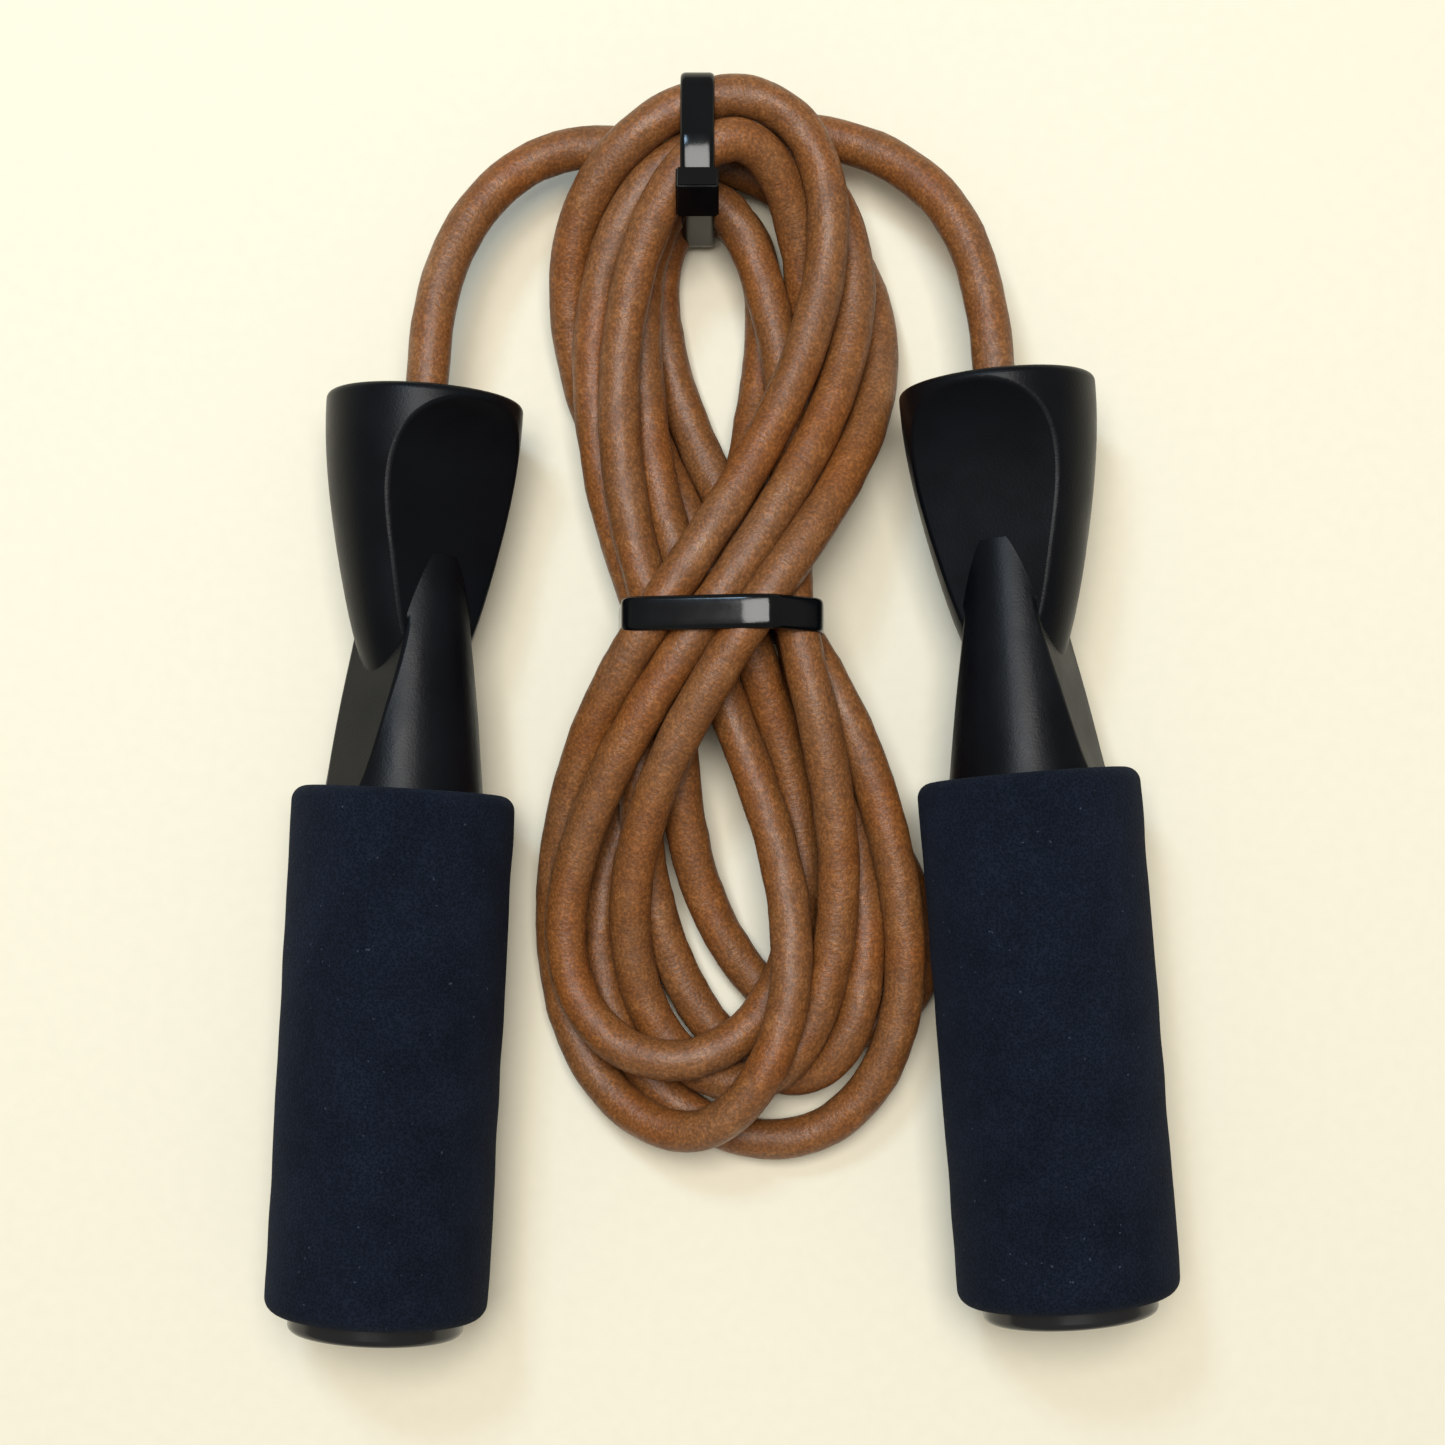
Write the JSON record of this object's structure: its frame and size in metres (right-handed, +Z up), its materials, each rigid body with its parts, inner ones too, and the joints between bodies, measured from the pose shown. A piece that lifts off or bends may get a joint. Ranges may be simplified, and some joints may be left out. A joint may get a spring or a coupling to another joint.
{
  "type": "jump rope",
  "caption": "Leather skipping rope with ball-bearing plastic handles and black foam grips, coiled into a figure-of-eight hank held by cable ties.",
  "frame": {"origin": "on the surface that the rope lies on, under the middle of the two handles' box", "axes": "+Z up; +Y from the grips towards the rope ends of the handles; +X from the left handle to the right one"},
  "size_m": [0.1516, 0.2097, 0.037],
  "materials": {
    "rope_leather": "satin",
    "shell_plastic": "satin",
    "grip_foam": "matte",
    "cap_plastic": "gloss",
    "tie_nylon": "gloss",
    "race_steel": "satin",
    "ball_steel": "polished",
    "cage_brass": "satin",
    "bush_nylon": "satin",
    "washer_steel": "satin"
  },
  "bodies": {
    "rope": {"rope_hank": "rope_leather", "rope_left_tail": "rope_leather", "rope_right_tail": "rope_leather", "top_tie": "tie_nylon", "waist_tie": "tie_nylon", "left_bearing_inner_race": "race_steel", "left_rope_bush": "bush_nylon", "left_stop_washer": "washer_steel", "left_stop_pin": "washer_steel", "right_bearing_inner_race": "race_steel", "right_rope_bush": "bush_nylon", "right_stop_washer": "washer_steel", "right_stop_pin": "washer_steel"},
    "left_handle": {"left_handle_shell": "shell_plastic", "left_foam_grip": "grip_foam", "left_end_cap": "cap_plastic", "left_head_cap": "shell_plastic", "left_bearing_outer_race": "race_steel"},
    "left_cage": {"left_bearing_cage": "cage_brass", "left_bearing_balls": "ball_steel"},
    "right_handle": {"right_handle_shell": "shell_plastic", "right_foam_grip": "grip_foam", "right_end_cap": "cap_plastic", "right_head_cap": "shell_plastic", "right_bearing_outer_race": "race_steel"},
    "right_cage": {"right_bearing_cage": "cage_brass", "right_bearing_balls": "ball_steel"}
  },
  "joints": [
    {"name": "left_handle_spin", "type": "hinge", "parent": "rope", "child": "left_handle", "pos_m": [-0.04963, 0.06941, 0.0185], "axis": [0.0541, 0.9985, 0], "continuous": true},
    {"name": "left_cage_spin", "type": "hinge", "parent": "rope", "child": "left_cage", "pos_m": [-0.04963, 0.06941, 0.0185], "axis": [0.0541, 0.9985, 0], "continuous": true},
    {"name": "right_handle_spin", "type": "hinge", "parent": "rope", "child": "right_handle", "pos_m": [0.04594, 0.07192, 0.0185], "axis": [-0.0802, 0.9968, 0], "continuous": true},
    {"name": "right_cage_spin", "type": "hinge", "parent": "rope", "child": "right_cage", "pos_m": [0.04594, 0.07192, 0.0185], "axis": [-0.0802, 0.9968, 0], "continuous": true}
  ],
  "couplings": [
    {"joint": "left_cage_spin", "follows": "left_handle_spin", "ratio": 0.6185},
    {"joint": "right_cage_spin", "follows": "right_handle_spin", "ratio": 0.6185}
  ]
}
